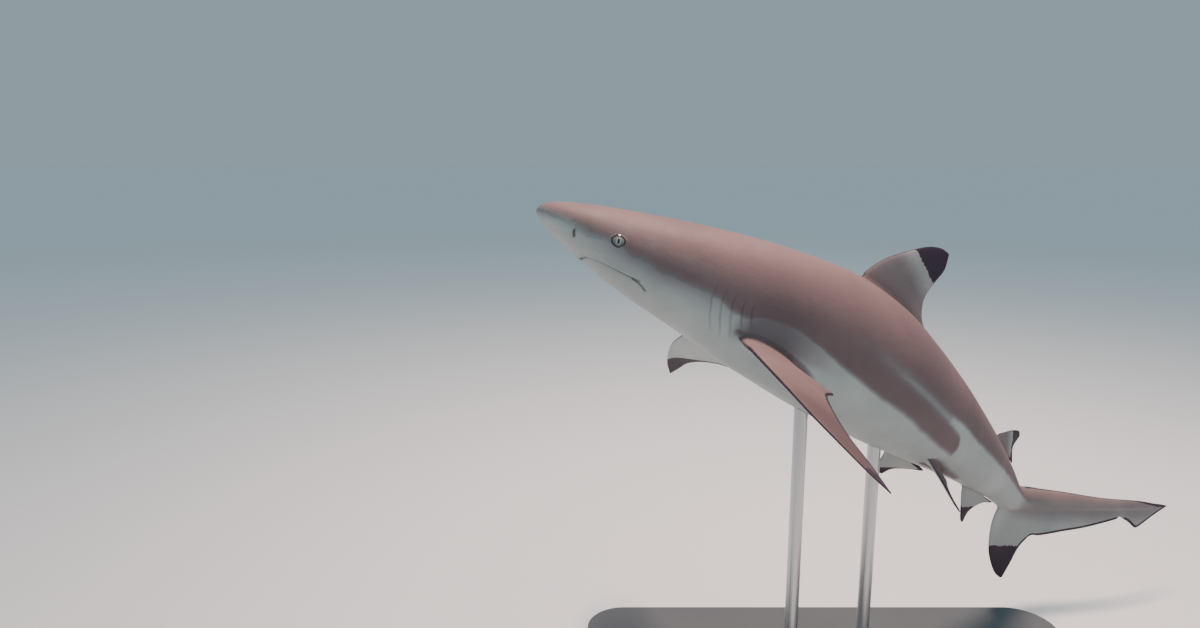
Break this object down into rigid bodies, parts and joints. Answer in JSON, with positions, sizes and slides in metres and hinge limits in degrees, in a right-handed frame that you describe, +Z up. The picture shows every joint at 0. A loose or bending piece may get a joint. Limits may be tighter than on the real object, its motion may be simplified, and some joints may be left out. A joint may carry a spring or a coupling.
{
  "type": "blacktip reef shark",
  "caption": "Life-size still model of a blacktip reef shark banking as it climbs, held over a flat display base by steel rods.",
  "frame": {"origin": "centre of the display base's underside", "axes": "+X from the head's side towards the tail, -Y towards the viewer's side, where the animal's left flank faces, +Z up"},
  "size_m": [1.0967, 0.7399, 0.7223],
  "materials": {
    "skin": "satin skin, brown-grey back, pale belly, black fin tips",
    "eye": "wet, glossy, pale iris with a dark upright slit pupil",
    "stand_base": "plain satin dark grey",
    "stand_rod": "plain brushed steel"
  },
  "bodies": {
    "root": {"head": "skin", "lower_jaw": "skin", "gill_region": "skin", "trunk_front": "skin", "trunk_middle": "skin", "trunk_rear": "skin", "tail_stalk": "skin", "first_dorsal_fin": "skin", "second_dorsal_fin": "skin", "anal_fin": "skin", "pectoral_fin_left": "skin", "pectoral_fin_right": "skin", "pelvic_fin_left": "skin", "pelvic_fin_right": "skin", "caudal_upper_lobe": "skin", "caudal_lower_lobe": "skin", "caudal_terminal_lobe": "skin", "eye_left": "eye", "eye_right": "eye", "stand_base": "stand_base", "stand_rod_front": "stand_rod", "stand_rod_rear": "stand_rod"}
  },
  "joints": []
}
